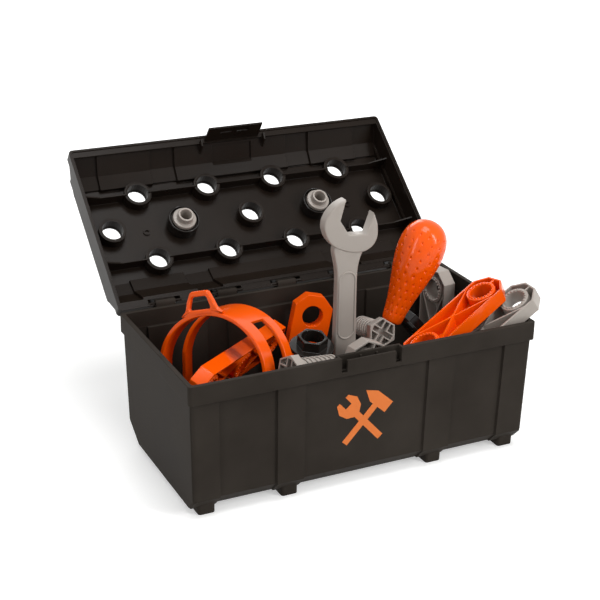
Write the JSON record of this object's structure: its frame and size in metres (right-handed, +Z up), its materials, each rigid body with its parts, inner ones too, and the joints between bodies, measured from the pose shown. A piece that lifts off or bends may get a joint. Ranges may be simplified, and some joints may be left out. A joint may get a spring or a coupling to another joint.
{
  "type": "toy tool box with workbench lid",
  "caption": "Toy tool box, open: a tub of toy tools and building beams under a hinged bench lid with bolt sockets.",
  "frame": {"origin": "middle of the whole object, on the ground", "axes": "+X to the right along the front, +Y to the back, +Z up"},
  "size_m": [0.3662, 0.3286, 0.2645],
  "materials": {
    "box_plastic": "satin",
    "orange_plastic": "gloss",
    "grey_plastic": "satin",
    "black_plastic": "gloss"
  },
  "bodies": {
    "box": {"box_body": "box_plastic"},
    "lid": {"lid": "box_plastic"},
    "screwdriver": {"screwdriver_shaft": "black_plastic", "screwdriver_grip": "orange_plastic"},
    "lid_bolt_left": {"lid_bolt_left": "grey_plastic"},
    "lid_nut_left": {"lid_nut_left": "black_plastic"},
    "lid_bolt_right": {"lid_bolt_right": "grey_plastic"},
    "lid_nut_right": {"lid_nut_right": "black_plastic"},
    "hoop": {"hoop": "orange_plastic"},
    "wrench": {"wrench": "grey_plastic"},
    "beam_orange_left": {"beam_orange_left": "orange_plastic"},
    "beam_orange_centre": {"beam_orange_centre": "orange_plastic"},
    "beam_orange_right": {"beam_orange_right": "orange_plastic"},
    "beam_grey_right": {"beam_grey_right": "grey_plastic"},
    "beam_grey_front": {"beam_grey_front": "grey_plastic"},
    "beam_grey_back": {"beam_grey_back": "grey_plastic"},
    "nut_centre": {"nut_centre": "black_plastic"},
    "nut_right": {"nut_right": "black_plastic"},
    "bolt_centre": {"bolt_centre": "grey_plastic"},
    "bolt_front": {"bolt_front": "grey_plastic"}
  },
  "joints": [
    {"name": "lid_hinge", "type": "hinge", "parent": "box", "child": "lid", "pos_m": [-0.00813, 0.0172, 0.1348], "axis": [-1, 0, 0], "range_deg": [-95, 0]},
    {"name": "lid_bolt_left_lift", "type": "slide", "parent": "lid", "child": "lid_bolt_left", "axis": [0, -0.6346, 0.7729], "range_m": [0, 0.042]},
    {"name": "lid_bolt_right_lift", "type": "slide", "parent": "lid", "child": "lid_bolt_right", "axis": [0, -0.6346, 0.7729], "range_m": [0, 0.042]},
    {"name": "lid_nut_left_lift", "type": "slide", "parent": "lid", "child": "lid_nut_left", "axis": [0, -0.6346, 0.7729], "range_m": [0, 0.02]},
    {"name": "lid_nut_right_lift", "type": "slide", "parent": "lid", "child": "lid_nut_right", "axis": [0, -0.6346, 0.7729], "range_m": [0, 0.02]},
    {"name": "wrench_lift", "type": "slide", "parent": "box", "child": "wrench", "axis": [0, 0, 1], "range_m": [0, 0.12]},
    {"name": "screwdriver_lift", "type": "slide", "parent": "box", "child": "screwdriver", "axis": [0.3903, 0, 0.9207], "range_m": [0, 0.11]},
    {"name": "hoop_lift", "type": "slide", "parent": "box", "child": "hoop", "axis": [0, 0, 1], "range_m": [0, 0.1]},
    {"name": "beam_orange_left_lift", "type": "slide", "parent": "box", "child": "beam_orange_left", "axis": [0, 0, 1], "range_m": [0, 0.026]},
    {"name": "beam_orange_centre_lift", "type": "slide", "parent": "box", "child": "beam_orange_centre", "axis": [0.2589, 0, 0.9659], "range_m": [0, 0.11]},
    {"name": "beam_orange_right_lift", "type": "slide", "parent": "box", "child": "beam_orange_right", "axis": [0, 0, 1], "range_m": [0, 0.1]},
    {"name": "beam_grey_right_lift", "type": "slide", "parent": "box", "child": "beam_grey_right", "axis": [0.8311, -0.011, 0.556], "range_m": [0, 0.11]},
    {"name": "beam_grey_front_lift", "type": "slide", "parent": "box", "child": "beam_grey_front", "axis": [0.3756, 0.1002, 0.9214], "range_m": [0, 0.06]},
    {"name": "beam_grey_back_lift", "type": "slide", "parent": "box", "child": "beam_grey_back", "axis": [0, 0, 1], "range_m": [0, 0.11]},
    {"name": "nut_centre_lift", "type": "slide", "parent": "box", "child": "nut_centre", "axis": [0, 0, 1], "range_m": [0, 0.08]},
    {"name": "nut_right_lift", "type": "slide", "parent": "box", "child": "nut_right", "axis": [0.8944, 0, 0.4472], "range_m": [0, 0.05]},
    {"name": "bolt_centre_lift", "type": "slide", "parent": "box", "child": "bolt_centre", "axis": [0, 0, 1], "range_m": [0, 0.09]},
    {"name": "bolt_front_lift", "type": "slide", "parent": "box", "child": "bolt_front", "axis": [0, 0, 1], "range_m": [0, 0.08]}
  ]
}
